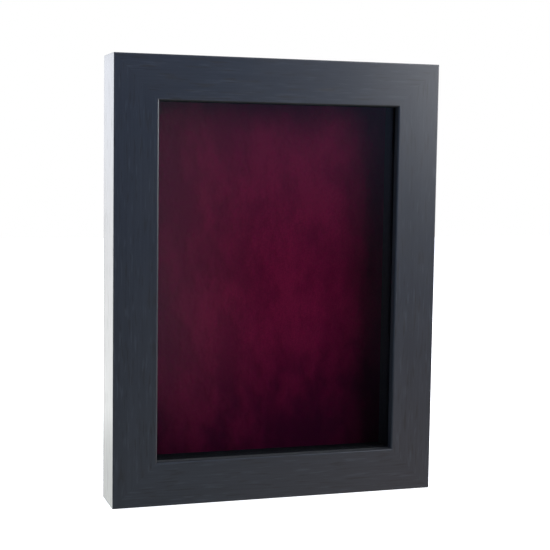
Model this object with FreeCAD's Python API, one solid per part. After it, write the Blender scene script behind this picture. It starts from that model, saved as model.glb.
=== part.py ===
"""Shadow box: a mitred black wood moulding with a glass front, spacer strips round the inside, a board
covered in velvet, and a backing board that six turn buttons hold in. Two strap hangers carry D rings.

Frame: millimetres. X runs to the right seen from the front, Y from the front to the rear, and Z up.
The origin is the centre of the face that the box stands on.
"""

import FreeCAD
import Part
import math
import os

Vector = FreeCAD.Vector

# ---- Driving dimensions ------------------------------------------------------------------------

# What the box takes: a pane, a display board and a backing board, all cut to a stock 5 x 7 inch size.
INSERT_WIDTH = 127.0
INSERT_HEIGHT = 177.8
INSERT_CLEARANCE = 0.8  # gap between a cut sheet and the rabbet wall, each side

# Moulding section.
MOULDING_WIDTH = 21.5
MOULDING_DEPTH = 25.4
LIP_WIDTH = 4.0  # how far the lip reaches in past the rabbet wall
LIP_THICKNESS = 4.0
LIP_RADIUS = 0.9  # rounded front edge of the lip, round the opening
ARRIS_RADIUS = 0.5  # softened outer edges of the moulding

# Sheets that lie in the rabbet, from front to rear.
PANE_THICKNESS = 2.0
SPACER_THICKNESS = 3.0
CLOTH_THICKNESS = 0.8
CLOTH_TURN_IN = 12.0  # cloth folded onto the rear of the display board
DISPLAY_BOARD_THICKNESS = 3.0
BACKING_THICKNESS = 3.0
BACKING_RECESS = 0.2  # the backing board lies this far below the rear face of the moulding

# Turn buttons: stamped plates that swing on pan head screws.
BUTTON_REACH = 17.0  # screw centre to the tip of the tongue
BUTTON_HEEL_RADIUS = 4.5
BUTTON_TIP_RADIUS = 3.0
BUTTON_THICKNESS = 1.0
BUTTON_EDGE_RADIUS = 0.25  # softened rear edge of the stamping
BUTTON_LIFT = 0.1  # running gap under the plate and under the screw head
BUTTON_HANGER_GAP = 8.0  # hanger strap to the tip of an upper button that is turned up

# Pan head wood screws, the same for the buttons and the hangers.
SCREW_SHANK_RADIUS = 1.3
SCREW_LENGTH = 12.0
SCREW_TIP_LENGTH = 2.5
SCREW_HEAD_RADIUS = 2.6
SCREW_HEAD_HEIGHT = 1.5
SCREW_CROWN_RADIUS = 0.75
SCREW_CLEARANCE = 0.06  # radial gap between a shank and the plate it goes through
PILOT_CLEARANCE = 0.02  # radial gap between a shank and the wood
RECESS_WIDTH = 0.7  # cross recess in the head
RECESS_LENGTH = 2.8
RECESS_DEPTH = 0.9

# Strap hangers with D rings.
STRAP_WIDTH = 9.0
STRAP_GAUGE = 0.6  # one layer of steel; the strap is folded double
STRAP_LENGTH = 20.0  # eye centre to the rounded end
STRAP_SCREW_DROP = 15.0  # eye centre to the screw
EYE_CLEARANCE = 0.09  # radial gap between the ring's bar and the eye
RING_WIRE_RADIUS = 0.75
RING_WIDTH = 14.0  # between the wire's centre lines
RING_SHANK = 3.0  # from the bar down to where the bow starts
RING_CORNER_RADIUS = 1.5
RING_REST_GAP = 0.1  # between the hanging ring and the strap
HANGER_DROP = 27.0  # top of the box to the eye

# V nails across the mitres, pressed in from the rear.
NAIL_LEG = 6.0
NAIL_GAUGE = 0.5
NAIL_DEPTH = 8.0
NAIL_SINK = 0.3
NAIL_PITCH = 6.0  # between the two nails at a corner, along either rail

# Wall bumpers in the middle of the lower rear corners.
BUMPER_RADIUS = 5.0
BUMPER_HEIGHT = 4.0
BUMPER_EDGE_RADIUS = 1.2

# ---- Worked out from the driving dimensions ----------------------------------------------------

RAIL_REAR_WIDTH = MOULDING_WIDTH - LIP_WIDTH
RABBET_WIDTH = INSERT_WIDTH + 2 * INSERT_CLEARANCE
RABBET_HEIGHT = INSERT_HEIGHT + 2 * INSERT_CLEARANCE
BOX_WIDTH = RABBET_WIDTH + 2 * RAIL_REAR_WIDTH
BOX_HEIGHT = RABBET_HEIGHT + 2 * RAIL_REAR_WIDTH
CENTRE_HEIGHT = BOX_HEIGHT / 2

FRONT_Y = -MOULDING_DEPTH / 2
REAR_Y = MOULDING_DEPTH / 2
PANE_Y = FRONT_Y + LIP_THICKNESS
SPACER_Y = PANE_Y + PANE_THICKNESS
BACKING_Y = REAR_Y - BACKING_RECESS - BACKING_THICKNESS
BOARD_Y = BACKING_Y - CLOTH_THICKNESS - DISPLAY_BOARD_THICKNESS
CLOTH_Y = BOARD_Y - CLOTH_THICKNESS

BOARD_WIDTH = INSERT_WIDTH - 2 * CLOTH_THICKNESS
BOARD_HEIGHT = INSERT_HEIGHT - 2 * CLOTH_THICKNESS

RAIL_MIDDLE = RAIL_REAR_WIDTH / 2  # outer face to the middle of a rail's rear face
RAIL_MIDDLE_X = BOX_WIDTH / 2 - RAIL_MIDDLE

EYE_INNER_RADIUS = RING_WIRE_RADIUS + EYE_CLEARANCE
EYE_OUTER_RADIUS = EYE_INNER_RADIUS + STRAP_GAUGE
EYE_Y = REAR_Y + EYE_OUTER_RADIUS
EYE_Z = BOX_HEIGHT - HANGER_DROP
STRAP_THICKNESS = 2 * STRAP_GAUGE
STRAP_SCREW_Z = EYE_Z - STRAP_SCREW_DROP
STRAP_END_Z = EYE_Z - STRAP_LENGTH
RING_BOW_RADIUS = RING_WIDTH / 2
RING_DROP = RING_SHANK + RING_BOW_RADIUS  # eye centre to the wire's centre at the lowest point
RING_STAND_OFF = STRAP_THICKNESS + RING_REST_GAP + RING_WIRE_RADIUS - EYE_OUTER_RADIUS
RING_REST_ANGLE = math.degrees(math.asin(RING_STAND_OFF / RING_DROP))

BUTTON_Y = REAR_Y + BUTTON_LIFT
BUTTON_HEAD_Y = BUTTON_Y + BUTTON_THICKNESS + BUTTON_LIFT
UPPER_BUTTON_Z = STRAP_END_Z - BUTTON_HANGER_GAP - BUTTON_REACH
LOWER_BUTTON_Z = BOX_HEIGHT - UPPER_BUTTON_Z

MIDDLE = Vector(0, 0, CENTRE_HEIGHT)
REARWARD = Vector(0, 1, 0)
SAME_PLACE = 1e-6  # two lengths closer than this are equal


# ---- Shapes ------------------------------------------------------------------------------------


def block(width, height, y_near, y_far):
    """A sheet or bar, centred on the opening, between two depths."""
    corner = Vector(-width / 2, y_near, CENTRE_HEIGHT - height / 2)
    return Part.makeBox(width, y_far - y_near, height, corner)


def rod(radius, y_near, y_far, x, z):
    """A round bar that runs from front to rear."""
    return Part.makeCylinder(radius, y_far - y_near, Vector(x, y_near, z), REARWARD)


def turned(shape, degrees, about=MIDDLE, axis=REARWARD):
    """A turned copy of a shape."""
    copy = shape.copy()
    copy.rotate(about, axis, degrees)
    return copy


def moved(shape, x=0.0, y=0.0, z=0.0):
    """A moved copy of a shape."""
    copy = shape.copy()
    copy.translate(Vector(x, y, z))
    return copy


def face_from(edges):
    """A flat face inside a closed run of edges."""
    return Part.Face(Part.Wire(edges))


def rounded_rear(shape, radius, thickness):
    """The shape with the edges of its rear face rounded, by no more than half its thickness."""
    rear_y = shape.BoundBox.YMax
    rim = [edge for edge in shape.Edges if edge.BoundBox.YMin > rear_y - SAME_PLACE]
    return shape.makeFillet(min(radius, thickness / 2), rim)


# ---- Moulding ----------------------------------------------------------------------------------


def moulding_section(x):
    """The moulding's section at one end of a rail: flat face, round edge inside, rabbet behind the lip."""
    outer, inner = 0.0, MOULDING_WIDTH
    wall = RAIL_REAR_WIDTH
    halfway = 1 - math.sqrt(0.5)
    bend = ARRIS_RADIUS * halfway
    lip_bend = LIP_RADIUS * halfway

    def at(inward, y):
        return Vector(x, y, inward)

    edges = [
        Part.Arc(
            at(outer, FRONT_Y + ARRIS_RADIUS),
            at(outer + bend, FRONT_Y + bend),
            at(outer + ARRIS_RADIUS, FRONT_Y),
        ).toShape(),
        Part.LineSegment(at(outer + ARRIS_RADIUS, FRONT_Y), at(inner - LIP_RADIUS, FRONT_Y)).toShape(),
        Part.Arc(
            at(inner - LIP_RADIUS, FRONT_Y),
            at(inner - lip_bend, FRONT_Y + lip_bend),
            at(inner, FRONT_Y + LIP_RADIUS),
        ).toShape(),
        Part.LineSegment(at(inner, FRONT_Y + LIP_RADIUS), at(inner, PANE_Y)).toShape(),
        Part.LineSegment(at(inner, PANE_Y), at(wall, PANE_Y)).toShape(),
        Part.LineSegment(at(wall, PANE_Y), at(wall, REAR_Y)).toShape(),
        Part.LineSegment(at(wall, REAR_Y), at(outer + ARRIS_RADIUS, REAR_Y)).toShape(),
        Part.Arc(
            at(outer + ARRIS_RADIUS, REAR_Y),
            at(outer + bend, REAR_Y - bend),
            at(outer, REAR_Y - ARRIS_RADIUS),
        ).toShape(),
        Part.LineSegment(at(outer, REAR_Y - ARRIS_RADIUS), at(outer, FRONT_Y + ARRIS_RADIUS)).toShape(),
    ]
    return face_from(edges)


def mitred_rail(length):
    """A rail along X with its outer face on z = 0 and its ends cut at 45 degrees."""
    bar = moulding_section(-length / 2).extrude(Vector(length, 0, 0))
    inner = length / 2 - MOULDING_WIDTH
    corners = [
        Vector(-length / 2, FRONT_Y, 0),
        Vector(length / 2, FRONT_Y, 0),
        Vector(inner, FRONT_Y, MOULDING_WIDTH),
        Vector(-inner, FRONT_Y, MOULDING_WIDTH),
    ]
    outline = Part.Face(Part.makePolygon(corners + corners[:1]))
    return bar.common(outline.extrude(Vector(0, MOULDING_DEPTH, 0)))


def rails():
    """The four rails in their places, before any hole is made."""
    short = mitred_rail(BOX_WIDTH)
    long = moved(mitred_rail(BOX_HEIGHT), z=CENTRE_HEIGHT - BOX_WIDTH / 2)
    return {
        "rail_bottom": short,
        "rail_top": turned(short, 180),
        "rail_left": turned(long, 90),
        "rail_right": turned(long, -90),
    }


# ---- Sheets and strips in the rabbet -----------------------------------------------------------


def spacer_strips():
    """Four strips that stand between the pane and the display board: long sides full height."""
    inner_width = INSERT_WIDTH - 2 * SPACER_THICKNESS
    inner_height = INSERT_HEIGHT - 2 * SPACER_THICKNESS
    side = block(SPACER_THICKNESS, INSERT_HEIGHT, SPACER_Y, CLOTH_Y)
    end = block(inner_width, SPACER_THICKNESS, SPACER_Y, CLOTH_Y)
    side_x = (INSERT_WIDTH - SPACER_THICKNESS) / 2
    end_z = (inner_height + SPACER_THICKNESS) / 2
    return {
        "spacer_left": moved(side, x=-side_x),
        "spacer_right": moved(side, x=side_x),
        "spacer_bottom": moved(end, z=-end_z),
        "spacer_top": moved(end, z=end_z),
    }


def velvet_cover():
    """Cloth over the front and edges of the display board, turned in on its rear."""
    cloth = block(INSERT_WIDTH, INSERT_HEIGHT, CLOTH_Y, BACKING_Y)
    board = block(BOARD_WIDTH, BOARD_HEIGHT, BOARD_Y, BOARD_Y + DISPLAY_BOARD_THICKNESS)
    open_width = BOARD_WIDTH - 2 * CLOTH_TURN_IN
    open_height = BOARD_HEIGHT - 2 * CLOTH_TURN_IN
    return cloth.cut(board).cut(block(open_width, open_height, BOARD_Y, BACKING_Y))


def sheets():
    """The flat sheets, from front to rear."""
    return {
        "glass_pane": block(INSERT_WIDTH, INSERT_HEIGHT, PANE_Y, SPACER_Y),
        "velvet_cover": velvet_cover(),
        "display_board": block(BOARD_WIDTH, BOARD_HEIGHT, BOARD_Y, BOARD_Y + DISPLAY_BOARD_THICKNESS),
        "backing_board": block(INSERT_WIDTH, INSERT_HEIGHT, BACKING_Y, BACKING_Y + BACKING_THICKNESS),
    }


# ---- Screws ------------------------------------------------------------------------------------


def pan_screw(x, z, head_y):
    """A pan head wood screw whose head sits on head_y, with a cross recess and a pointed tip."""
    dome = rod(SCREW_HEAD_RADIUS, head_y, head_y + SCREW_HEAD_HEIGHT, x, z)
    dome = rounded_rear(dome, SCREW_CROWN_RADIUS, SCREW_HEAD_HEIGHT)
    for degrees in (0, 90):
        bar = Part.makeBox(
            RECESS_LENGTH,
            RECESS_DEPTH,
            RECESS_WIDTH,
            Vector(x - RECESS_LENGTH / 2, head_y + SCREW_HEAD_HEIGHT - RECESS_DEPTH, z - RECESS_WIDTH / 2),
        )
        dome = dome.cut(turned(bar, degrees, Vector(x, 0, z)))
    tip_y = head_y - SCREW_LENGTH
    shank = rod(SCREW_SHANK_RADIUS, tip_y + SCREW_TIP_LENGTH, head_y, x, z)
    tip = Part.makeCone(0, SCREW_SHANK_RADIUS, SCREW_TIP_LENGTH, Vector(x, tip_y, z), REARWARD)
    return dome.fuse([shank, tip]).removeSplitter()


def pilot_hole(x, z, head_y):
    """The hole that a screw cuts for itself in a rail."""
    return rod(SCREW_SHANK_RADIUS + PILOT_CLEARANCE, head_y - SCREW_LENGTH, REAR_Y, x, z)


# ---- Turn buttons ------------------------------------------------------------------------------


def button_places():
    """Name, x, z and the turn that points each button's tongue at the middle of the box."""
    return [
        ("turn_button_top", 0.0, BOX_HEIGHT - RAIL_MIDDLE, 90),
        ("turn_button_bottom", 0.0, RAIL_MIDDLE, -90),
        ("turn_button_left_upper", -RAIL_MIDDLE_X, UPPER_BUTTON_Z, 0),
        ("turn_button_left_lower", -RAIL_MIDDLE_X, LOWER_BUTTON_Z, 0),
        ("turn_button_right_upper", RAIL_MIDDLE_X, UPPER_BUTTON_Z, 180),
        ("turn_button_right_lower", RAIL_MIDDLE_X, LOWER_BUTTON_Z, 180),
    ]


def turn_button(x, z, degrees):
    """A tapered plate, round at the heel and the tip, that points along +X before it turns."""
    tip_x = BUTTON_REACH - BUTTON_TIP_RADIUS
    lean = math.asin((BUTTON_HEEL_RADIUS - BUTTON_TIP_RADIUS) / tip_x)

    def on(centre_x, radius, angle):
        return Vector(x + centre_x + radius * math.sin(angle), BUTTON_Y, z + radius * math.cos(angle))

    heel_up, heel_down = on(0, BUTTON_HEEL_RADIUS, lean), on(0, BUTTON_HEEL_RADIUS, math.pi - lean)
    tip_up, tip_down = on(tip_x, BUTTON_TIP_RADIUS, lean), on(tip_x, BUTTON_TIP_RADIUS, math.pi - lean)
    outline = face_from(
        [
            Part.LineSegment(heel_up, tip_up).toShape(),
            Part.Arc(tip_up, on(tip_x, BUTTON_TIP_RADIUS, math.pi / 2), tip_down).toShape(),
            Part.LineSegment(tip_down, heel_down).toShape(),
            Part.Arc(heel_down, on(0, BUTTON_HEEL_RADIUS, -math.pi / 2), heel_up).toShape(),
        ]
    )
    plate = outline.extrude(Vector(0, BUTTON_THICKNESS, 0))
    plate = rounded_rear(plate, BUTTON_EDGE_RADIUS, BUTTON_THICKNESS)
    bore = rod(SCREW_SHANK_RADIUS + SCREW_CLEARANCE, BUTTON_Y, BUTTON_Y + BUTTON_THICKNESS, x, z)
    return turned(plate.cut(bore), degrees, Vector(x, 0, z))


# ---- Strap hangers -----------------------------------------------------------------------------


def hanger_strap(x):
    """A strip folded double round the ring's bar and screwed to a side rail."""
    half = STRAP_WIDTH / 2
    shoulder_z = STRAP_END_Z + half
    strap_rear = REAR_Y + STRAP_THICKNESS
    corner = Vector(x - half, REAR_Y, shoulder_z)
    strip = Part.makeBox(STRAP_WIDTH, STRAP_THICKNESS, EYE_Z - shoulder_z, corner)
    round_end = rod(half, REAR_Y, strap_rear, x, shoulder_z)
    strap = strip.fuse([round_end, eye_tube(x, EYE_OUTER_RADIUS)])
    strap = strap.cut(eye_tube(x, EYE_INNER_RADIUS))
    hole = rod(SCREW_SHANK_RADIUS + SCREW_CLEARANCE, REAR_Y, strap_rear, x, STRAP_SCREW_Z)
    return strap.cut(hole).removeSplitter()


def eye_tube(x, radius):
    """A round bar along X as wide as the strap, at the eye."""
    start = Vector(x - STRAP_WIDTH / 2, EYE_Y, EYE_Z)
    return Part.makeCylinder(radius, STRAP_WIDTH, start, Vector(1, 0, 0))


def wire_run(start, end):
    """A straight run of the ring's wire."""
    return Part.makeCylinder(RING_WIRE_RADIUS, (end - start).Length, start, end - start)


def wire_bend(start, heading, centre, degrees):
    """A bend of the ring's wire that leaves start along heading and turns about centre."""
    section = Part.Face(Part.Wire([Part.Circle(start, heading, RING_WIRE_RADIUS).toShape()]))
    return section.revolve(centre, REARWARD, degrees)


def hanger_ring(x):
    """A D ring: straight bar in the eye, two tight corners, short sides and a round bow."""
    half, corner = RING_BOW_RADIUS, RING_CORNER_RADIUS
    bow_z = EYE_Z - RING_SHANK
    bar_end = half - corner
    up, right = Vector(0, 0, 1), Vector(1, 0, 0)

    def at(dx, z):
        return Vector(x + dx, EYE_Y, z)

    pieces = [
        wire_run(at(-bar_end, EYE_Z), at(bar_end, EYE_Z)),
        wire_bend(at(bar_end, EYE_Z), right, at(bar_end, EYE_Z - corner), 90),
        wire_run(at(half, EYE_Z - corner), at(half, bow_z)),
        wire_bend(at(half, bow_z), -up, at(0, bow_z), 180),
        wire_run(at(-half, bow_z), at(-half, EYE_Z - corner)),
        wire_bend(at(-half, EYE_Z - corner), up, at(-bar_end, EYE_Z - corner), 90),
    ]
    ring = pieces[0].fuse(pieces[1:]).removeSplitter()
    return turned(ring, RING_REST_ANGLE, Vector(x, EYE_Y, EYE_Z), right)


# ---- V nails and bumpers -----------------------------------------------------------------------


def v_nail(offset):
    """A V nail at the lower left corner, its point on the mitre and one leg along each rail."""
    start = Vector(-BOX_WIDTH / 2 + offset, REAR_Y - NAIL_SINK - NAIL_DEPTH, offset)
    along = Part.makeBox(NAIL_LEG, NAIL_DEPTH, NAIL_GAUGE, start)
    up = Part.makeBox(NAIL_GAUGE, NAIL_DEPTH, NAIL_LEG, start)
    return along.fuse(up).removeSplitter()


def v_nails():
    """Two V nails at each of the four corners, spread about the middle of the mitre."""
    first = (RAIL_REAR_WIDTH - NAIL_PITCH - NAIL_LEG) / 2
    corner = [v_nail(first), v_nail(first + NAIL_PITCH)]
    nails = []
    for nail in corner:
        right = nail.mirror(Vector(0, 0, 0), Vector(1, 0, 0))
        for low in (nail, right):
            nails += [low, low.mirror(MIDDLE, Vector(0, 0, 1))]
    return nails


def nail_slots(nails):
    """The cuts that the V nails leave in the rails, open at the rear face."""
    return [nail.fuse(moved(nail, y=NAIL_SINK)) for nail in nails]


def wall_bumper(x):
    """A round rubber pad with a softened rim, at a lower corner."""
    pad = rod(BUMPER_RADIUS, REAR_Y, REAR_Y + BUMPER_HEIGHT, x, RAIL_MIDDLE)
    return rounded_rear(pad, BUMPER_EDGE_RADIUS, BUMPER_HEIGHT)


# ---- Assembly ----------------------------------------------------------------------------------


def assemble():
    """Every node of the shadow box by name; a list is a group of separate solids."""
    nodes = {**rails(), **sheets(), **spacer_strips()}
    button_screws = []
    holes = []
    for name, x, z, degrees in button_places():
        nodes[name] = turn_button(x, z, degrees)
        button_screws.append(pan_screw(x, z, BUTTON_HEAD_Y))
        holes.append(pilot_hole(x, z, BUTTON_HEAD_Y))
    nodes["turn_button_screws"] = button_screws

    hanger_screws = []
    strap_rear = REAR_Y + STRAP_THICKNESS
    for side, x in (("left", -RAIL_MIDDLE_X), ("right", RAIL_MIDDLE_X)):
        nodes["hanger_strap_" + side] = hanger_strap(x)
        nodes["hanger_ring_" + side] = hanger_ring(x)
        nodes["wall_bumper_" + side] = wall_bumper(x)
        hanger_screws.append(pan_screw(x, STRAP_SCREW_Z, strap_rear))
        holes.append(pilot_hole(x, STRAP_SCREW_Z, strap_rear))
    nodes["hanger_screws"] = hanger_screws

    nails = v_nails()
    nodes["corner_v_nails"] = nails
    for name in ("rail_bottom", "rail_top", "rail_left", "rail_right"):
        rail = nodes[name].cut(holes)
        nodes[name] = rail.cut(nail_slots(nails))

    return nodes


def main():
    os.makedirs("parts", exist_ok=True)
    for name, shape in assemble().items():
        solids = shape if isinstance(shape, list) else [shape]
        node = Part.makeCompound(solids) if len(solids) > 1 else solids[0]
        if not node.isValid():
            raise ValueError(name + " is not a valid shape")
        node.exportStep("parts/" + name + ".step")
        print(f"{name:26s} {len(node.Solids)} solid(s) {node.Volume / 1000:9.3f} cm3")
    print(f"box {BOX_WIDTH:.1f} x {MOULDING_DEPTH:.1f} x {BOX_HEIGHT:.1f} mm")
    print(f"ring hangs at {RING_REST_ANGLE:.2f} degrees from plumb")


main()
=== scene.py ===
"""Looks of a shadow box: black wood moulding, glass, black spacers, burgundy velvet and the steel hardware behind.

Lengths are metres. X runs to the right seen from the front, Y from the front to the rear, and Z up.
"""

import logging
import math
from dataclasses import dataclass
from enum import Enum
from typing import Any, Optional, Sequence

import bpy
import numpy as np
from mathutils import Matrix, Vector


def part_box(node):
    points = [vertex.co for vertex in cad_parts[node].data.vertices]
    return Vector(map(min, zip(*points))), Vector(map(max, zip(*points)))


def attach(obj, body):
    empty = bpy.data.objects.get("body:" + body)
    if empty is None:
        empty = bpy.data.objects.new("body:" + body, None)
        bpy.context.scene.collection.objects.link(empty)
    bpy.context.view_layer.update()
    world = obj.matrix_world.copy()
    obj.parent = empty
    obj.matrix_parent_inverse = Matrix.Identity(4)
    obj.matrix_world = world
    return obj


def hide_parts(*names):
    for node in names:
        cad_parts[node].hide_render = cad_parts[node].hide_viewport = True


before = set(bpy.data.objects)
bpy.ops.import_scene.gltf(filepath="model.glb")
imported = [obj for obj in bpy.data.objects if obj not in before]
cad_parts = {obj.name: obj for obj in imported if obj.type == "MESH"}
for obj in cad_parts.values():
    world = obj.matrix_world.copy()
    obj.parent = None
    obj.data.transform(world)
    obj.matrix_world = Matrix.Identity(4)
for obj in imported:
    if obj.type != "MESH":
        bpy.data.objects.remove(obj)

LOG = logging.getLogger("shadow_box")
MM = 0.001
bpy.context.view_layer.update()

Colour = tuple[float, float, float]


# ---- Node trees --------------------------------------------------------------------------------


class Grain(Enum):
    """The way the wood's grain runs, with the turn in degrees about Y that lays it along X."""

    ACROSS = 0.0
    UPRIGHT = 90.0


class Effect(Enum):
    """The patterns that more than one material uses, with the names of their node groups."""

    GRAIN = "grain"
    HANDLING = "handling"
    BOX_EDGES = "box edges"
    SPECKS = "specks"
    FIBRES = "fibres"


class Graph:
    """Adds nodes to one shader tree and links them."""

    SHIFT_STEPS = (1.0, 0.7, 1.3)

    def __init__(self, tree: bpy.types.NodeTree) -> None:
        """Keeps the tree that the nodes go in.

        Args:
            tree: the tree of a material, a world or a node group.
        """
        self.tree = tree

    def put(self, socket: bpy.types.NodeSocket, value: Any) -> None:
        """Feeds a socket with another socket, or sets its value.

        Args:
            socket: the input to feed.
            value: an output socket, a number, or a colour or vector as a sequence.
        """
        if isinstance(value, bpy.types.NodeSocket):
            self.tree.links.new(value, socket)
        elif socket.type == "RGBA" and len(value) == 3:
            socket.default_value = (*value, 1.0)
        else:
            socket.default_value = value

    def node(self, kind: str, feeds: Optional[dict[Any, Any]] = None, **settings: Any) -> bpy.types.Node:
        """Adds one node.

        Args:
            kind: the node's type without the leading ShaderNode.
            feeds: what goes into its inputs, by name or number.
            **settings: properties of the node.

        Returns:
            The new node.
        """
        made = self.tree.nodes.new("ShaderNode" + kind)
        for name, value in settings.items():
            setattr(made, name, value)
        for name, value in (feeds or {}).items():
            self.put(made.inputs[name], value)
        return made

    def math(self, operation: str, first: Any, second: Any = 0.0, clamp: bool = False) -> bpy.types.NodeSocket:
        """Works out one number from two.

        Args:
            operation: the name of Blender's math operation.
            first: the first number or socket.
            second: the second number or socket.
            clamp: whether the answer is kept between 0 and 1.

        Returns:
            The socket with the answer.
        """
        return self.node("Math", {0: first, 1: second}, operation=operation, use_clamp=clamp).outputs[0]

    def weigh(self, first: Any, second: Any, share: float) -> bpy.types.NodeSocket:
        """Adds two numbers by weight.

        Args:
            first: the first number or socket.
            second: the second number or socket.
            share: how much the first counts, from 0 to 1. The second has the rest.

        Returns:
            The socket with the weighted sum.
        """
        return self.math("ADD", self.math("MULTIPLY", first, share), self.math("MULTIPLY", second, 1.0 - share))

    def rest(self, value: Any) -> bpy.types.NodeSocket:
        """Takes a share from 1 and returns the socket with what is left."""
        return self.math("SUBTRACT", 1.0, value)

    def vector(self, operation: str, first: Any, second: Any = (0.0, 0.0, 0.0)) -> bpy.types.NodeSocket:
        """Works out one vector from two.

        Args:
            operation: the name of Blender's vector operation.
            first: the first vector or socket.
            second: the second vector or socket.

        Returns:
            The socket with the answer.
        """
        return self.node("VectorMath", {0: first, 1: second}, operation=operation).outputs[0]

    def blend(self, share: Any, first: Any, second: Any) -> bpy.types.NodeSocket:
        """Mixes two colours.

        Args:
            share: how much of the second colour shows, from 0 to 1.
            first: the colour at 0.
            second: the colour at 1.

        Returns:
            The mixed colour's socket.
        """
        mix = self.node("Mix", {0: share}, data_type="RGBA")
        self.put(mix.inputs[6], first)
        self.put(mix.inputs[7], second)
        return mix.outputs[2]

    def remap(
        self, value: Any, low: Any, high: Any, to_low: float = 0.0, to_high: float = 1.0
    ) -> bpy.types.NodeSocket:
        """Turns the stretch from low to high smoothly into the stretch from to_low to to_high.

        Args:
            value: the number to turn.
            low: where the stretch starts, as a number or a socket.
            high: where it ends, as a number or a socket.
            to_low: the answer at low.
            to_high: the answer at high.

        Returns:
            The socket with the answer.
        """
        feeds = {"Value": value, "From Min": low, "From Max": high, "To Min": to_low, "To Max": to_high}
        return self.node("MapRange", feeds, interpolation_type="SMOOTHSTEP").outputs[0]

    def noise(
        self, place: Any, scale: float = 1.0, detail: float = 2.0, shift: float = 0.0
    ) -> bpy.types.NodeSocket:
        """Reads smooth noise at a place.

        Args:
            place: the vector where it is read.
            scale: how many times the noise repeats in one unit.
            detail: how many finer layers are added.
            shift: moves the pattern by unlike steps in X, Y and Z, so that two noises with one place differ.

        Returns:
            The socket with the noise, from 0 to 1.
        """
        moved = self.vector("ADD", place, [shift * step for step in self.SHIFT_STEPS]) if shift else place
        return self.node("TexNoise", {"Vector": moved, "Scale": scale, "Detail": detail}).outputs[0]

    def place(self, turn: float = 0.0, shift: Sequence[float] = (0.0, 0.0, 0.0)) -> bpy.types.NodeSocket:
        """Reads the place on the object, turned about Y and then moved.

        Args:
            turn: the turn in degrees.
            shift: the move in metres.

        Returns:
            The socket with the place in metres.
        """
        own = self.node("TexCoord").outputs["Object"]
        turned = {"Vector": own, "Location": shift, "Rotation": (0.0, math.radians(turn), 0.0)}
        return self.node("Mapping", turned).outputs[0]


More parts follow.
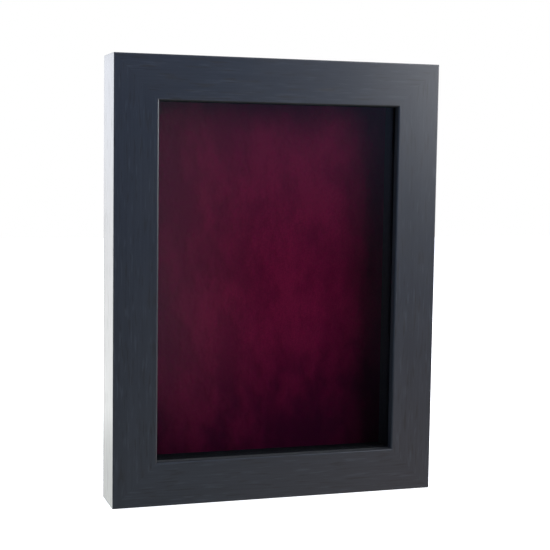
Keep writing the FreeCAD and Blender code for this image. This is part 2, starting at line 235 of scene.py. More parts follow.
class Effects:
    """Patterns that more than one material uses, each a node group that is built once."""

    def __init__(self) -> None:
        """Builds every group."""
        self.trees = {
            Effect.GRAIN: self._grain(),
            Effect.HANDLING: self._handling(),
            Effect.BOX_EDGES: self._box_edges(),
            Effect.SPECKS: self._specks(),
            Effect.FIBRES: self._fibres(),
        }

    def use(self, graph: Graph, effect: Effect, feeds: dict[str, Any]) -> bpy.types.NodeOutputs:
        """Places one effect in a material.

        Args:
            graph: the material's graph.
            effect: which effect.
            feeds: what goes into the group's inputs.

        Returns:
            The outputs of the placed group.
        """
        return graph.node("Group", feeds, node_tree=self.trees[effect]).outputs

    @staticmethod
    def _open(effect: Effect, inputs: dict[str, float], outputs: Sequence[str]) -> tuple[Graph, Any, Any]:
        """Makes an empty group.

        Args:
            effect: which effect it will hold.
            inputs: the names of the number inputs and their usual values.
            outputs: the names of the number outputs.

        Returns:
            The group's graph, its inner inputs and its inner outputs.
        """
        tree = bpy.data.node_groups.new(effect.value, "ShaderNodeTree")
        tree.interface.new_socket("Place", in_out="INPUT", socket_type="NodeSocketVector")
        for label, usual in inputs.items():
            socket = tree.interface.new_socket(label, in_out="INPUT", socket_type="NodeSocketFloat")
            socket.default_value = usual
        for label in outputs:
            tree.interface.new_socket(label, in_out="OUTPUT", socket_type="NodeSocketFloat")
        inner = tree.nodes.new("NodeGroupInput").outputs
        result = tree.nodes.new("NodeGroupOutput").inputs
        return Graph(tree), inner, result

    @staticmethod
    def _counted(graph: Graph, inner: Any, label: str) -> bpy.types.NodeSocket:
        """Counts the place in one of a group's lengths.

        Args:
            graph: the group's graph.
            inner: the group's inner inputs.
            label: the name of the length.

        Returns:
            The socket with the place divided by the length.
        """
        length = graph.node("CombineXYZ", {axis: inner[label] for axis in range(3)}).outputs[0]
        return graph.vector("DIVIDE", inner["Place"], length)

    def _grain(self) -> bpy.types.NodeTree:
        """Wood grain along X: short pale and dark pores, broad streaks and a height for the bump."""
        sizes = {"Pore length": 6 * MM, "Pore width": 0.55 * MM}
        graph, inner, result = self._open(Effect.GRAIN, sizes, ("Pale", "Dark", "Streak", "Height"))
        size = graph.node("CombineXYZ", {0: inner["Pore length"], 1: inner["Pore width"], 2: inner["Pore width"]})
        pores = graph.vector("DIVIDE", inner["Place"], size.outputs[0])
        dark = graph.remap(graph.noise(pores, scale=0.5, detail=1.0), low=0.56, high=0.72)
        pale = graph.remap(graph.noise(pores, scale=0.5, detail=1.0, shift=37.0), low=0.57, high=0.74)
        hairs = graph.noise(graph.vector("MULTIPLY", pores, (0.14, 0.8, 0.8)), shift=5.0)
        bands = graph.noise(graph.vector("MULTIPLY", pores, (0.05, 0.1, 0.1)), shift=11.0)
        graph.put(result["Pale"], pale)
        graph.put(result["Dark"], dark)
        graph.put(result["Streak"], graph.remap(graph.weigh(hairs, bands, share=0.6), low=0.35, high=0.65))
        graph.put(result["Height"], graph.rest(dark))
        return graph.tree

    def _handling(self) -> bpy.types.NodeTree:
        """Marks of handling: soft smudges and a few fine scratches."""
        graph, inner, result = self._open(Effect.HANDLING, {"Size": 30 * MM}, ("Smudge", "Scratch"))
        place = self._counted(graph, inner, "Size")
        smudge = graph.remap(graph.noise(place, detail=4.0), low=0.35, high=0.75)
        lean = graph.node("Mapping", {"Vector": place, "Rotation": (0.4, 0.9, 0.2), "Scale": (0.7, 26.0, 26.0)})
        scratch = graph.remap(graph.noise(lean.outputs[0], detail=1.0, shift=3.0), low=0.72, high=0.8)
        graph.put(result["Smudge"], smudge)
        graph.put(result["Scratch"], scratch)
        return graph.tree

    def _box_edges(self) -> bpy.types.NodeTree:
        """Where a box's finish rubs first, near two of its faces at once, and what lies inside its faces.

        The place is folded into one eighth of the box, so the gaps to its three near faces say where a point is.
        """
        sizes = {
            "Middle height": 0.1,
            "Half width": 0.1,
            "Half depth": 0.01,
            "Half height": 0.1,
            "Reach": 1 * MM,
            "Matt from": 0.65 * MM,
        }
        graph, inner, result = self._open(Effect.BOX_EDGES, sizes, ("Rubbed", "Inside"))
        middle = graph.node("CombineXYZ", {2: inner["Middle height"]}).outputs[0]
        halves = {0: inner["Half width"], 1: inner["Half depth"], 2: inner["Half height"]}
        half = graph.node("CombineXYZ", halves).outputs[0]
        off = graph.vector("ABSOLUTE", graph.vector("SUBTRACT", inner["Place"], middle))
        gap = graph.node("SeparateXYZ", {0: graph.vector("ABSOLUTE", graph.vector("SUBTRACT", half, off))}).outputs
        pairs = [graph.math("ADD", gap[a], gap[b]) for a, b in ((0, 1), (0, 2), (1, 2))]
        nearest = graph.math("MINIMUM", graph.math("MINIMUM", pairs[0], pairs[1]), pairs[2])
        close = graph.math("SUBTRACT", 1.0, graph.math("DIVIDE", nearest, inner["Reach"]), clamp=True)
        patchy = graph.noise(inner["Place"], scale=220.0, detail=3.0)
        broken = graph.remap(patchy, low=0.35, high=0.65, to_low=0.25)
        graph.put(result["Rubbed"], graph.math("MULTIPLY", close, broken))
        to_face = graph.math("MINIMUM", graph.math("MINIMUM", gap[0], gap[1]), gap[2])
        graph.put(result["Inside"], graph.remap(to_face, low=0.02 * MM, high=inner["Matt from"]))
        return graph.tree

    def _specks(self) -> bpy.types.NodeTree:
        """Sparse specks of dust or lint: the middles of a few noise cells."""
        graph, inner, result = self._open(Effect.SPECKS, {"Spacing": 8 * MM, "Amount": 0.3}, ("Speck",))
        place = self._counted(graph, inner, "Spacing")
        cells = graph.node("TexVoronoi", {"Vector": place, "Scale": 1.0}).outputs
        shape = graph.remap(cells["Distance"], low=0.035, high=0.07, to_low=1.0, to_high=0.0)
        chosen = graph.node("SeparateXYZ", {0: cells["Color"]}).outputs[0]
        kept = graph.math("LESS_THAN", chosen, inner["Amount"])
        graph.put(result["Speck"], graph.math("MULTIPLY", shape, kept))
        return graph.tree

    def _fibres(self) -> bpy.types.NodeTree:
        """Matted fibres, as in card, hardboard and pile: two crossed stretched noises and a fine grit."""
        graph, inner, result = self._open(Effect.FIBRES, {"Size": 0.5 * MM}, ("Tone", "Height"))
        place = self._counted(graph, inner, "Size")
        first = graph.noise(graph.vector("MULTIPLY", place, (0.3, 1.0, 1.2)))
        second = graph.noise(graph.vector("MULTIPLY", place, (1.2, 1.0, 0.3)), shift=9.0)
        both = graph.weigh(first, second, share=0.5)
        grit = graph.math("MULTIPLY", graph.noise(place, scale=2.5, detail=1.0, shift=4.0), 0.4)
        graph.put(result["Tone"], graph.remap(both, low=0.35, high=0.65))
        graph.put(result["Height"], graph.math("ADD", both, grit))
        return graph.tree


# ---- Finishes ----------------------------------------------------------------------------------


@dataclass(frozen=True)
class Finish:
    """What every finish has: the shared effects and a name for its material."""

    effects: Effects
    name: str

    def _start(self) -> tuple[bpy.types.Material, Graph, bpy.types.Node]:
        """Makes a material with only a Principled shader.

        Returns:
            The material, its graph and its shader.
        """
        material = bpy.data.materials.new(self.name)
        material.use_nodes = True
        material.node_tree.nodes.clear()
        graph = Graph(material.node_tree)
        shader = graph.node("BsdfPrincipled")
        graph.node("OutputMaterial", {"Surface": shader.outputs[0]})
        return material, graph, shader

    @staticmethod
    def _bump(graph: Graph, shader: bpy.types.Node, height: Any, depth: float) -> None:
        """Gives a shader a bump.

        Args:
            graph: the material's graph.
            shader: the shader to bump.
            height: the socket with the relief.
            depth: how deep the relief is at 1, in metres.
        """
        bump = graph.node("Bump", {"Height": height, "Distance": depth, "Strength": 1.0})
        graph.put(shader.inputs["Normal"], bump.outputs[0])


@dataclass(frozen=True)
class MouldingFinish(Finish):
    """Satin black over open grain, matt inside the lip and the rabbet.

    The paint turns matt from matt_from inside the box's outer faces, and takes the inside colour there, which
    carries painted shade or painted light.
    """

    grain: Grain
    seed: float
    outer: Vector
    inside_painted_shade_or_light: Colour
    matt_from: float
    base: Colour = (0.0105, 0.0142, 0.0220)
    pale: Colour = (0.0185, 0.0235, 0.0335)
    pore: Colour = (0.026, 0.032, 0.043)
    dark: Colour = (0.0045, 0.0065, 0.0105)
    bare: Colour = (0.060, 0.060, 0.064)
    seed_steps: tuple[float, float, float] = (1.0, 0.37, 0.61)
    streak_share: float = 0.5
    pale_share: float = 0.7
    dark_share: float = 0.8
    bare_share: float = 0.4
    rubbed_reach: float = 0.9 * MM
    roughness: float = 0.29
    smudge_less: float = 0.012
    smudge_more: float = 0.02
    rougher_pores: float = 0.08
    rougher_rubbed: float = 0.1
    rougher_inside: float = 0.6
    coat: float = 0.5
    coat_roughness: float = 0.25
    relief: float = 0.008 * MM

    def material(self) -> bpy.types.Material:
        """Builds the material.

        Returns:
            Black paint with pale and dark pores along the grain, smudges, and lightly rubbed outer edges.
        """
        material, graph, shader = self._start()
        own = graph.place()
        along = graph.place(self.grain.value, [self.seed * step for step in self.seed_steps])
        wood = self.effects.use(graph, Effect.GRAIN, {"Place": along})
        marks = self.effects.use(graph, Effect.HANDLING, {"Place": own})
        edges = {
            "Place": own,
            "Middle height": self.outer.z,
            "Half width": self.outer.x,
            "Half depth": self.outer.y,
            "Half height": self.outer.z,
            "Reach": self.rubbed_reach,
            "Matt from": self.matt_from,
        }
        box = self.effects.use(graph, Effect.BOX_EDGES, edges)
        layers = (
            (wood["Streak"], self.streak_share, self.pale),
            (wood["Pale"], self.pale_share, self.pore),
            (wood["Dark"], self.dark_share, self.dark),
            (box["Rubbed"], self.bare_share, self.bare),
            (box["Inside"], 1.0, self.inside_painted_shade_or_light),
        )
        colour = self.base
        for mask, share, over in layers:
            colour = graph.blend(graph.math("MULTIPLY", mask, share), colour, over)
        graph.put(shader.inputs["Base Color"], colour)
        least, most = self.roughness - self.smudge_less, self.roughness + self.smudge_more
        rough = graph.remap(marks["Smudge"], 0.0, 1.0, to_low=least, to_high=most)
        rougher = (
            (wood["Dark"], self.rougher_pores),
            (box["Rubbed"], self.rougher_rubbed),
            (box["Inside"], self.rougher_inside),
        )
        for mask, more in rougher:
            rough = graph.math("ADD", rough, graph.math("MULTIPLY", mask, more))
        graph.put(shader.inputs["Roughness"], rough)
        graph.put(shader.inputs["Coat Weight"], graph.math("MULTIPLY", graph.rest(box["Inside"]), self.coat))
        shader.inputs["Coat Roughness"].default_value = self.coat_roughness
        self._bump(graph, shader, wood["Height"], self.relief)
        return material


@dataclass(frozen=True)
class VelvetFinish(Finish):
    """Burgundy velvet whose nap was brushed by hand, so that it lies in soft patches.

    The colour is full above high and carries painted shade: it darkens from high down to low, where the patches
    also grow darker, and towards half_width on both sides, more on the right.
    """

    half_width: float
    low: float
    high: float
    shade: Colour = (0.011, 0.0004, 0.0065)
    glow: Colour = (0.086, 0.0043, 0.0225)
    tip: Colour = (0.5, 0.08, 0.2)
    lint: Colour = (0.42, 0.33, 0.36)
    patch: float = 26 * MM
    patch_turn: float = 0.35
    patch_stretch: tuple[float, float, float] = (1.25, 1.0, 0.8)
    large_share: float = 0.72
    small_per_large: float = 3.2
    lean: float = 16.0
    # Painted shadow of the frame's sides: its middle is moved a little left, and it darkens between these shares of
    # half_width.
    side_shade_shift: float = 2 * MM
    side_shade_from: float = 0.45
    side_shade_to: float = 0.96
    fibre: float = 0.45 * MM
    lint_spacing: float = 12 * MM
    lint_amount: float = 0.1
    lint_share: float = 0.3
    sheen: float = 0.35
    sheen_roughness: float = 0.45
    nap_relief: float = 3.0
    fibre_relief: float = 0.12
    relief: float = 0.2 * MM

    def material(self) -> bpy.types.Material:
        """Builds the material.

        Returns:
            Pile with brushed patches, fine fibres, a sheen at its tips and a few specks of lint.
        """
        material, graph, shader = self._start()
        own = graph.place()
        turned = {"Vector": own, "Rotation": (0.0, self.patch_turn, 0.0), "Scale": self.patch_stretch}
        swept = graph.node("Mapping", turned).outputs[0]
        large = graph.noise(swept, scale=1.0 / self.patch, detail=3.0, shift=2.0)
        small = graph.noise(swept, scale=self.small_per_large / self.patch, shift=8.0)
        nap = graph.remap(graph.weigh(large, small, self.large_share), low=0.37, high=0.64)
        height = graph.node("SeparateXYZ", {0: graph.place(self.lean)}).outputs[2]
        # Painted shade: darker from high down to low, where the patches also grow darker.
        painted_bottom_shade = graph.remap(height, self.low, self.high, to_low=0.25)
        contrast = graph.remap(height, self.low, self.high, to_low=0.85, to_high=0.42)
        dip = graph.math("MULTIPLY", graph.rest(nap), contrast)
        # Painted shadow of the frame's sides, deeper on the right.
        across = graph.node("SeparateXYZ", {0: graph.place(shift=(self.side_shade_shift, 0.0, 0.0))}).outputs[0]
        aside = graph.math("ABSOLUTE", across)
        inner, outer = self.side_shade_from * self.half_width, self.side_shade_to * self.half_width
        painted_side_shade = graph.remap(aside, low=inner, high=outer, to_low=1.0, to_high=0.55)
        nap_and_painted_shade = graph.math("MULTIPLY", graph.rest(dip), graph.math("MULTIPLY", painted_bottom_shade, painted_side_shade))
        pile = self.effects.use(graph, Effect.FIBRES, {"Place": own, "Size": self.fibre})
        uneven = graph.remap(pile["Tone"], 0.0, 1.0, to_low=0.8, to_high=1.12)
        colour = graph.blend(graph.math("MULTIPLY", nap_and_painted_shade, uneven, clamp=True), self.shade, self.glow)
        spread = {"Place": own, "Spacing": self.lint_spacing, "Amount": self.lint_amount}
        fluff = graph.math("MULTIPLY", self.effects.use(graph, Effect.SPECKS, spread)["Speck"], self.lint_share)
        graph.put(shader.inputs["Base Color"], graph.blend(fluff, colour, self.lint))
        graph.put(shader.inputs["Roughness"], graph.remap(nap, 0.0, 1.0, to_low=0.95, to_high=0.8))
        shader.inputs["Specular IOR Level"].default_value = 0.0
        shader.inputs["Sheen Weight"].default_value = self.sheen
        shader.inputs["Sheen Roughness"].default_value = self.sheen_roughness
        graph.put(shader.inputs["Sheen Tint"], self.tip)
        fine = graph.math("MULTIPLY", pile["Height"], self.fibre_relief)
        swells = graph.math("ADD", graph.math("MULTIPLY", nap, self.nap_relief), fine)
        self._bump(graph, shader, swells, self.relief)
        return material


@dataclass(frozen=True)
class GlassFinish(Finish):
    """Clear glass that lets lamps through to what is behind it."""

    tint: Colour = (0.985, 0.995, 0.99)
    shadow_tint: Colour = (0.92, 0.93, 0.925)
    ior: float = 1.5

    def material(self) -> bpy.types.Material:
        """Builds the material.

        Returns:
            Smooth glass, mixed with a transparent shader for shadow rays.
        """
        material, graph, shader = self._start()
        graph.put(shader.inputs["Base Color"], self.tint)
        shader.inputs["Roughness"].default_value = 0.0
        shader.inputs["IOR"].default_value = self.ior
        shader.inputs["Transmission Weight"].default_value = 1.0
        clear = graph.node("BsdfTransparent", {"Color": self.shadow_tint}).outputs[0]
        from_lamp = graph.node("LightPath").outputs["Is Shadow Ray"]
        mix = graph.node("MixShader", {0: from_lamp, 1: shader.outputs[0], 2: clear}).outputs[0]
        graph.put(graph.tree.nodes["Material Output"].inputs["Surface"], mix)
        return material


@dataclass(frozen=True)
class BoardFinish(Finish):
    """Card or hardboard: matted fibres between two tones, with a few flecks."""

    deep: Colour
    light: Colour
    fleck: Colour
    roughness: float
    specular: float = 0.4
    fibre: float = 0.6 * MM
    cloud: float = 25 * MM
    fibre_share: float = 0.6
    fleck_spacing: float = 2.2 * MM
    fleck_amount: float = 0.35
    fleck_share: float = 0.7
    polish: float = 0.12
    relief: float = 0.03 * MM

    def material(self) -> bpy.types.Material:
        """Builds the material.

        Returns:
            Board with cloudy tones, fibres and flecks.
        """
        material, graph, shader = self._start()
        own = graph.place()
        mat = self.effects.use(graph, Effect.FIBRES, {"Place": own, "Size": self.fibre})
        marks = self.effects.use(graph, Effect.HANDLING, {"Place": own, "Size": self.cloud})
        spread = {"Place": own, "Spacing": self.fleck_spacing, "Amount": self.fleck_amount}
        flecks = graph.math("MULTIPLY", self.effects.use(graph, Effect.SPECKS, spread)["Speck"], self.fleck_share)
        colour = graph.blend(graph.weigh(mat["Tone"], marks["Smudge"], self.fibre_share), self.deep, self.light)
        graph.put(shader.inputs["Base Color"], graph.blend(flecks, colour, self.fleck))
        smooth = self.roughness - self.polish
        rough = graph.remap(marks["Smudge"], 0.0, 1.0, to_low=self.roughness, to_high=smooth)
        graph.put(shader.inputs["Roughness"], rough)
        shader.inputs["Specular IOR Level"].default_value = self.specular
        self._bump(graph, shader, mat["Height"], self.relief)
        return material


@dataclass(frozen=True)
class PlateFinish(Finish):
    """Plated steel: tumbled, with a faint bloom and fine scratches."""

    bright: Colour
    dull: Colour
    roughness: float
    smoother: float = 0.05
    rougher: float = 0.16
    scratched: float = 0.15
    bloom_size: float = 4 * MM
    dent_size: float = 2.4 * MM
    relief: float = 0.006 * MM

    def material(self) -> bpy.types.Material:
        """Builds the material.

        Returns:
            Metal whose bloom, scratches and tumbled dents change its colour, roughness and bump.
        """
        material, graph, shader = self._start()
        own = graph.place()
        marks = self.effects.use(graph, Effect.HANDLING, {"Place": own, "Size": self.bloom_size})
        fine = self.effects.use(graph, Effect.HANDLING, {"Place": own, "Size": self.dent_size})
        bloom = graph.weigh(marks["Smudge"], fine["Smudge"], share=0.5)
        graph.put(shader.inputs["Base Color"], graph.blend(bloom, self.bright, self.dull))
        least, most = self.roughness - self.smoother, self.roughness + self.rougher
        rough = graph.remap(bloom, 0.0, 1.0, to_low=least, to_high=most)
        scratches = graph.math("MULTIPLY", marks["Scratch"], self.scratched)
        graph.put(shader.inputs["Roughness"], graph.math("ADD", rough, scratches))
        shader.inputs["Metallic"].default_value = 1.0
        dents = graph.math("SUBTRACT", fine["Smudge"], marks["Scratch"])
        self._bump(graph, shader, dents, self.relief)
        return material


@dataclass(frozen=True)
class RubberFinish(Finish):
    """Black rubber with a fine moulded texture and a little dust."""

    base: Colour = (0.016, 0.016, 0.017)
    dust: Colour = (0.09, 0.088, 0.084)
    dust_share: float = 0.35
    skin_size: float = 0.5 * MM
    mark_size: float = 3 * MM
    relief: float = 0.04 * MM

    def material(self) -> bpy.types.Material:
        """Builds the material.

        Returns:
            Matt rubber.
        """
        material, graph, shader = self._start()
        own = graph.place()
        skin = self.effects.use(graph, Effect.FIBRES, {"Place": own, "Size": self.skin_size})
        marks = self.effects.use(graph, Effect.HANDLING, {"Place": own, "Size": self.mark_size})
        dusty = graph.math("MULTIPLY", marks["Smudge"], self.dust_share)
        graph.put(shader.inputs["Base Color"], graph.blend(dusty, self.base, self.dust))
        graph.put(shader.inputs["Roughness"], graph.remap(marks["Smudge"], 0.0, 1.0, to_low=0.62, to_high=0.82))
        self._bump(graph, shader, skin["Height"], self.relief)
        return material


# ---- Sub-assemblies ----------------------------------------------------------------------------


def dress(nodes: Sequence[str], material: bpy.types.Material) -> None:
    """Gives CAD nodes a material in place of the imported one.

    Args:
        nodes: the nodes' names.
        material: what they are made of.
    """
    for name in nodes:
        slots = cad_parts[name].data.materials
        slots.clear()
        slots.append(material)
        LOG.info("dressed %s in %s", name, material.name)


@dataclass
class Moulding:
    """The four mitred rails and the V nails that hold their corners."""

    effects: Effects
    grains: tuple[tuple[str, Grain], ...] = (
        ("rail_top", Grain.ACROSS),
        ("rail_bottom", Grain.ACROSS),
        ("rail_left", Grain.UPRIGHT),
        ("rail_right", Grain.UPRIGHT),
    )
    seed_step: float = 0.173
    # Inside the lips: painted shade on the level rails and painted light on the upright ones. The level matt starts
    # nearer the edge, painting shade over the bottom lip's highlight.
    level_inside_painted_shade: Colour = (0.006, 0.0075, 0.0105)
    upright_inside_painted_light: Colour = (0.016, 0.019, 0.025)
    level_matt_from: float = 0.16 * MM
    upright_matt_from: float = 0.65 * MM

    def build(self) -> None:
        """Dresses each rail with its own stretch of grain, and the nails."""
        insides = {
            Grain.ACROSS: (self.level_inside_painted_shade, self.level_matt_from),
            Grain.UPRIGHT: (self.upright_inside_painted_light, self.upright_matt_from),
        }
        low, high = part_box("rail_left")
        outer = Vector((abs(low.x), high.y, high.z / 2))
        for number, (node, grain) in enumerate(self.grains):
            seed = self.seed_step * (number + 1)
            inside, matt_from = insides[grain]
            finish = MouldingFinish(self.effects, "black_" + node, grain, seed, outer, inside, matt_from)
            dress([node], finish.material())
        steel = PlateFinish(self.effects, "nail_steel", (0.3, 0.31, 0.33), (0.16, 0.165, 0.18), roughness=0.4)
        dress(["corner_v_nails"], steel.material())


@dataclass
class Glazing:
    """The pane and the black card strips that keep it off the velvet."""

    effects: Effects

    def build(self) -> None:
        """Dresses the pane and the spacers, of which the upright ones are a shade lighter as painted light, and the
        level ones darker as painted shade.
        """
        dress(["glass_pane"], GlassFinish(self.effects, "clear_glass").material())
        # One card in two tones: painted shade on the level strips, painted light on the upright ones.
        cards = (
            ("level_card_painted_shade", (0.003, 0.0034, 0.0046), (0.007, 0.0076, 0.01), ["spacer_top", "spacer_bottom"]),
            ("upright_card_painted_light", (0.012, 0.0125, 0.016), (0.02, 0.021, 0.026), ["spacer_left", "spacer_right"]),
        )
        for name, deep, light, nodes in cards:
            fleck = (0.02, 0.02, 0.022)
            card = BoardFinish(self.effects, name, deep, light, fleck, roughness=0.9, specular=0.0)
            dress(nodes, card.material())


@dataclass
class Display:
    """The velvet and the board that it is stretched over."""

    effects: Effects
    cloth: float = 0.7 * MM
    corner: float = 0.8 * MM
    turn_in: float = 12 * MM
    ripple: float = 0.07 * MM
    waves: tuple[tuple[float, float, float], ...] = ((95.0, 31.0, 0.0), (-22.0, 73.0, 1.3), (151.0, 151.0, 0.6))
    shaded_share: float = 0.38
    columns: int = 121
    rows: int = 169
    bend_steps: int = 5
    flap_steps: int = 9

    def build(self) -> None:
        low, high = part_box("velvet_cover")
        velvet = self._velvet(low, high)
        # The velvet's painted shade darkens below this height, shaded_share of the way up.
        lit = low.z + self.shaded_share * (high.z - low.z)
        finish = VelvetFinish(self.effects, "burgundy_velvet", half_width=high.x, low=low.z, high=lit)
        velvet.data.materials.append(finish.material())
        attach(velvet, "box")
        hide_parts("velvet_cover")
        card = BoardFinish(
            self.effects,
            "grey_board",
            deep=(0.42, 0.40, 0.36),
            light=(0.56, 0.54, 0.49),
            fleck=(0.3, 0.28, 0.25),
            roughness=0.9,
        )
        dress(["display_board"], card.material())
        LOG.info("stretched %s over the display board", velvet.name)

    def _front(self, low: Vector, high: Vector) -> np.ndarray:
        """The cloth's front face as a grid of points.

        Even steps in x and z; y follows the mean of three crossed low waves, each the sine of so many radians a
        metre in x and in z and a start, and dies out towards the edges, where the spacers press the pile.

        Args:
            low: the cloth's lowest corner.
            high: the cloth's highest corner.

        Returns:
            Points of shape (rows, columns, 3).
        """
        across = np.linspace(low.x + self.corner, high.x - self.corner, self.columns)
        up = np.linspace(low.z + self.corner, high.z - self.corner, self.rows)
        x, z = np.meshgrid(across, up)
        fade = np.sin(np.pi * (x - across[0]) / np.ptp(across)) * np.sin(np.pi * (z - up[0]) / np.ptp(up))
        waves = sum(np.sin(x * along + z * rising + start) for along, rising, start in self.waves)
        y = low.y + self.ripple * fade * (1.0 - waves / len(self.waves))
        return np.stack([x, y, z], axis=-1)

    def _wrap(self, rim: np.ndarray, low: Vector, high: Vector) -> np.ndarray:
        """The cloth from the front's rim round the board's edge and in over its rear.

        Each ring is the front's rim scaled about the middle: a quarter circle to the side, a straight run
        back, a quarter circle to the rear, and a straight run in. The corners stay on the mitre.

        Args:
            rim: the points round the front face, of shape (n, 3).
            low: the cloth's lowest corner.
            high: the cloth's highest corner.

        Returns:
            Rings of shape (steps, n, 3).
        """
        turn = np.linspace(0.0, np.pi / 2, self.bend_steps + 1)[1:]
        bulge = self.corner * np.sin(turn)
        drop = self.corner * (1 - np.cos(turn))
        flap = np.linspace(0.0, self.turn_in, self.flap_steps + 1)[1:]
        deep = high.y - low.y
        back = np.concatenate([drop, [deep - self.corner], deep - self.corner + bulge, np.full(len(flap), deep)])
        out = np.concatenate([bulge, [self.corner], self.corner - drop, -flap])
        half = np.array([(high.x - low.x) / 2, (high.z - low.z) / 2])
        middle = np.array([(high.x + low.x) / 2, (high.z + low.z) / 2])
        inset = half - self.corner
        grown = (inset[None, :] + out[:, None]) / inset[None, :]
        rings = np.empty((len(out), len(rim), 3))
        rings[:, :, 0] = middle[0] + (rim[:, 0] - middle[0])[None, :] * grown[:, 0:1]
        rings[:, :, 2] = middle[1] + (rim[:, 2] - middle[1])[None, :] * grown[:, 1:2]
        rings[:, :, 1] = low.y + back[:, None]
        return rings

    def _velvet(self, low: Vector, high: Vector) -> bpy.types.Object:
        """The whole cloth: the front grid and the rings round its rim, thickened inwards.

        Args:
            low: the cloth's lowest corner.
            high: the cloth's highest corner.

        Returns:
            The velvet, with its pile side outwards.
        """
        grid = self._front(low, high)
        index = np.arange(self.rows * self.columns).reshape(self.rows, self.columns)
        quads = np.stack([index[:-1, :-1], index[:-1, 1:], index[1:, 1:], index[1:, :-1]], axis=-1).reshape(-1, 4)
        rim = np.concatenate([index[0, :-1], index[:-1, -1], index[-1, :0:-1], index[:0:-1, 0]])
        rings = self._wrap(grid.reshape(-1, 3)[rim], low, high)
        first = grid.shape[0] * grid.shape[1]
        rows = np.concatenate([rim[None, :], first + np.arange(rings.shape[0] * len(rim)).reshape(-1, len(rim))])
        following = np.roll(rows, -1, axis=1)
        sides = np.stack([rows[:-1], rows[1:], following[1:], following[:-1]], axis=-1).reshape(-1, 4)
        points = np.concatenate([grid.reshape(-1, 3), rings.reshape(-1, 3)])
        mesh = bpy.data.meshes.new("velvet")
        mesh.from_pydata(points.tolist(), [], np.concatenate([quads, sides]).tolist())
        mesh.polygons.foreach_set("use_smooth", np.ones(len(mesh.polygons), dtype=bool))
        velvet = bpy.data.objects.new("velvet", mesh)
        bpy.context.scene.collection.objects.link(velvet)
        thick = velvet.modifiers.new("cloth", "SOLIDIFY")
        thick.thickness = self.cloth
        thick.offset = -1.0
        return velvet


@dataclass
class Back:
    """The backing board and the turn buttons that hold it in."""

    effects: Effects
    sides: tuple[str, ...] = ("top", "bottom", "left_upper", "left_lower", "right_upper", "right_lower")

    def build(self) -> None:
        """Dresses the board, the buttons and their screws."""
        board = BoardFinish(
            self.effects,
            "hardboard",
            deep=(0.085, 0.044, 0.022),
            light=(0.17, 0.095, 0.05),
            fleck=(0.05, 0.025, 0.013),
            roughness=0.58,
            fibre=0.5 * MM,
        )
        dress(["backing_board"], board.material())
        zinc = PlateFinish(self.effects, "zinc_plate", (0.62, 0.64, 0.67), (0.44, 0.46, 0.49), roughness=0.3)
        dress(["turn_button_" + side for side in self.sides], zinc.material())
        screw = PlateFinish(self.effects, "screw_steel", (0.58, 0.58, 0.59), (0.36, 0.36, 0.37), roughness=0.26)
        dress(["turn_button_screws", "hanger_screws"], screw.material())


@dataclass
class Hanging:
    """The strap hangers and the wall bumpers."""

    effects: Effects
    sides: tuple[str, ...] = ("left", "right")

    def build(self) -> None:
        """Dresses the straps, the rings and the bumpers."""
        plate = PlateFinish(self.effects, "nickel_plate", (0.68, 0.66, 0.625), (0.52, 0.5, 0.47), roughness=0.22)
        nickel = plate.material()
        rubber = RubberFinish(self.effects, "bumper_rubber").material()
        for side in self.sides:
            dress(["hanger_strap_" + side, "hanger_ring_" + side], nickel)
            dress(["wall_bumper_" + side], rubber)


# ---- Studio ------------------------------------------------------------------------------------


@dataclass(frozen=True)
class Softbox:
    """A white rectangular lamp, aimed at the middle of the box and hidden from the camera."""

    name: str
    azimuth: float
    elevation: float
    distance: float
    width: float
    height: float
    radiance: float

    def place(self, aim: Vector) -> None:
        """Puts the lamp up.

        Its power is its radiance times its area times pi, as a flat lamp sends light out.

        Args:
            aim: the point that it faces.
        """
        lamp = bpy.data.lights.new(self.name, "AREA")
        lamp.shape = "RECTANGLE"
        lamp.size = self.width
        lamp.size_y = self.height
        lamp.energy = self.radiance * math.pi * self.width * self.height
        stand = bpy.data.objects.new(self.name, lamp)
        bpy.context.scene.collection.objects.link(stand)
        away = direction(self.azimuth, self.elevation)
        stand.location = aim + away * self.distance
        stand.rotation_euler = (-away).to_track_quat("-Z", "Y").to_euler()
        stand.visible_camera = False
        LOG.info("lit %s", self.name)


def direction(azimuth: float, elevation: float) -> Vector:
    """The way from the box towards an azimuth and elevation.

    Args:
        azimuth: degrees from the front, positive to the right.
        elevation: degrees above the floor.

    Returns:
        A vector of length 1.
    """
    turn, lift = math.radians(azimuth), math.radians(elevation)
    return Vector((math.sin(turn) * math.cos(lift), -math.cos(turn) * math.cos(lift), math.sin(lift)))


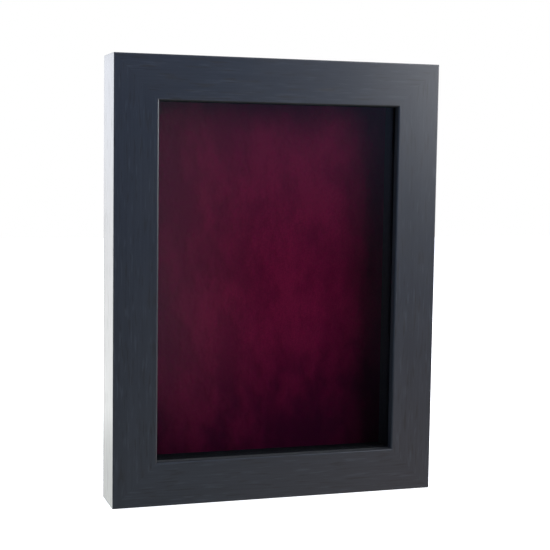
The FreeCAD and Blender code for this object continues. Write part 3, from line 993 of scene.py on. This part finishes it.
@dataclass
class Studio:
    """The white floor, the lamps, the surroundings and the camera."""

    lamps: tuple[Softbox, ...] = (
        Softbox("key", azimuth=52.5, elevation=24.3, distance=1.0, width=0.85, height=0.79, radiance=5.6),
        Softbox("overhead", azimuth=180.0, elevation=72.0, distance=1.3, width=2.2, height=2.0, radiance=1.0),
        Softbox("rear_panel", azimuth=-160.0, elevation=11.2, distance=0.75, width=1.1, height=1.1, radiance=1.27),
        Softbox("rear_high", azimuth=-160.0, elevation=17.5, distance=0.75, width=1.1, height=1.0, radiance=0.57),
    )
    low_surroundings: Colour = (0.26, 0.30, 0.27)
    low_right_surroundings: Colour = (0.78, 0.63, 0.52)
    level_surroundings: Colour = (0.06, 0.07, 0.09)
    high_surroundings: Colour = (0.14, 0.2, 0.36)
    low_in_pane: Colour = (0.003, 0.003, 0.004)
    high_in_pane: Colour = (0.072, 0.108, 0.2)
    beside_in_pane: Colour = (0.16, 0.165, 0.215)
    floor_size: float = 4.0
    floor_lift: float = 0.7
    floor_grain: float = 400.0
    floor_tones: tuple[Colour, Colour] = ((0.8, 0.8, 0.8), (0.84, 0.84, 0.84))
    floor_roughness: float = 0.8
    plain_white: Colour = (1.0, 1.0, 1.0)
    azimuth: float = -17.92
    elevation: float = 5.13
    roll: float = 0.84
    distance: float = 2.934
    slide: tuple[float, float] = (0.0113, -0.0151)
    lens: float = 84.78
    sensor: float = 36.0

    def build(self) -> None:
        """Sets the studio up round the box."""
        low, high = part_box("rail_left")
        height = high.z - low.z
        middle = Vector((0.0, low.y, low.z + height / 2))
        self._floor()
        self._world()
        for lamp in self.lamps:
            lamp.place(middle)
        self._camera(middle, height)
        bpy.context.scene.view_settings.view_transform = "Standard"

    def _floor(self) -> None:
        """Lays a pale matt floor, lifted to the white of its surroundings away from the box."""
        half = self.floor_size / 2
        corners = [(-half, -half, 0.0), (half, -half, 0.0), (half, half, 0.0), (-half, half, 0.0)]
        mesh = bpy.data.meshes.new("floor")
        mesh.from_pydata(corners, [], [(0, 1, 2, 3)])
        floor = bpy.data.objects.new("floor", mesh)
        bpy.context.scene.collection.objects.link(floor)
        material = bpy.data.materials.new("pale_floor")
        material.use_nodes = True
        graph = Graph(material.node_tree)
        shader = material.node_tree.nodes["Principled BSDF"]
        grain = graph.noise(graph.place(), scale=self.floor_grain)
        graph.put(shader.inputs["Base Color"], graph.blend(grain, *self.floor_tones))
        shader.inputs["Roughness"].default_value = self.floor_roughness
        away = graph.node("VectorMath", {0: graph.place()}, operation="LENGTH").outputs["Value"]
        seen = graph.node("LightPath").outputs["Is Camera Ray"]
        lift = graph.math("MULTIPLY", graph.remap(away, low=0.1, high=0.8, to_low=self.floor_lift), seen)
        glow = graph.node("Emission", {"Strength": lift}).outputs[0]
        lit = graph.node("AddShader", {0: shader.outputs[0], 1: glow}).outputs[0]
        graph.put(graph.tree.nodes["Material Output"].inputs["Surface"], lit)
        mesh.materials.append(material)
        floor.visible_glossy = False
        floor.visible_transmission = False

    def _world(self) -> None:
        """Makes the surroundings that the box mirrors.

        Polished faces see a bluish upper half, a dark level band and a pale floor, warmer to the right. The pane
        sees the bluish half more dimly, nothing of the floor, and paler patches to both sides. The camera sees
        white.
        """
        world = bpy.data.worlds.new("studio")
        world.use_nodes = True
        bpy.context.scene.world = world
        graph = Graph(world.node_tree)
        rays = graph.node("LightPath").outputs
        towards = graph.node("SeparateXYZ", {0: graph.node("TexCoord").outputs["Generated"]}).outputs
        high = graph.remap(towards[2], low=-0.1, high=0.08)
        right = graph.remap(towards[0], low=0.2, high=0.42)
        low = graph.blend(right, self.low_surroundings, self.low_right_surroundings)
        level = graph.blend(high, self.level_surroundings, self.high_surroundings)
        around = graph.blend(graph.remap(towards[2], low=-0.24, high=-0.06), low, level)
        level_in_pane = graph.blend(high, self.low_in_pane, self.high_in_pane)
        at_left = graph.remap(towards[0], low=0.31, high=0.18)
        at_right = graph.remap(towards[0], low=0.345, high=0.41, to_high=0.3)
        off_floor = graph.remap(towards[2], low=-0.24, high=-0.1)
        beside = graph.math("MULTIPLY", graph.math("ADD", at_left, at_right), off_floor)
        in_pane = graph.blend(beside, level_in_pane, self.beside_in_pane)
        reflected = graph.blend(rays["Is Singular Ray"], around, in_pane)
        colour = graph.blend(rays["Is Camera Ray"], reflected, self.plain_white)
        graph.put(world.node_tree.nodes["Background"].inputs["Color"], colour)

    def _camera(self, middle: Vector, height: float) -> None:
        """Stands the camera in front of the box.

        Its place is worked out in the camera's own axes, in heights of the box: it stands back by distance
        and aside by slide, and it is rolled about its line of sight.

        Args:
            middle: the middle of the front face.
            height: the height of the box.
        """
        back = direction(self.azimuth, self.elevation)
        level = Vector((math.cos(math.radians(self.azimuth)), math.sin(math.radians(self.azimuth)), 0.0))
        plumb = back.cross(level)
        roll = math.radians(self.roll)
        right = level * math.cos(roll) + plumb * math.sin(roll)
        above = plumb * math.cos(roll) - level * math.sin(roll)
        camera = bpy.data.objects.new("camera", bpy.data.cameras.new("camera"))
        bpy.context.scene.collection.objects.link(camera)
        place = middle + height * (back * self.distance - right * self.slide[0] - above * self.slide[1])
        turned = Matrix((right, above, back)).transposed().to_4x4()
        camera.matrix_world = Matrix.Translation(place) @ turned
        camera.data.sensor_width = self.sensor
        camera.data.lens = self.lens
        bpy.context.scene.camera = camera


def main() -> None:
    """Builds the looks in order."""
    logging.basicConfig(level=logging.INFO, format="%(message)s")
    effects = Effects()
    for part in (Moulding(effects), Glazing(effects), Display(effects), Back(effects), Hanging(effects), Studio()):
        part.build()
        LOG.info("finished %s", type(part).__name__)


if __name__ == "__main__":
    main()
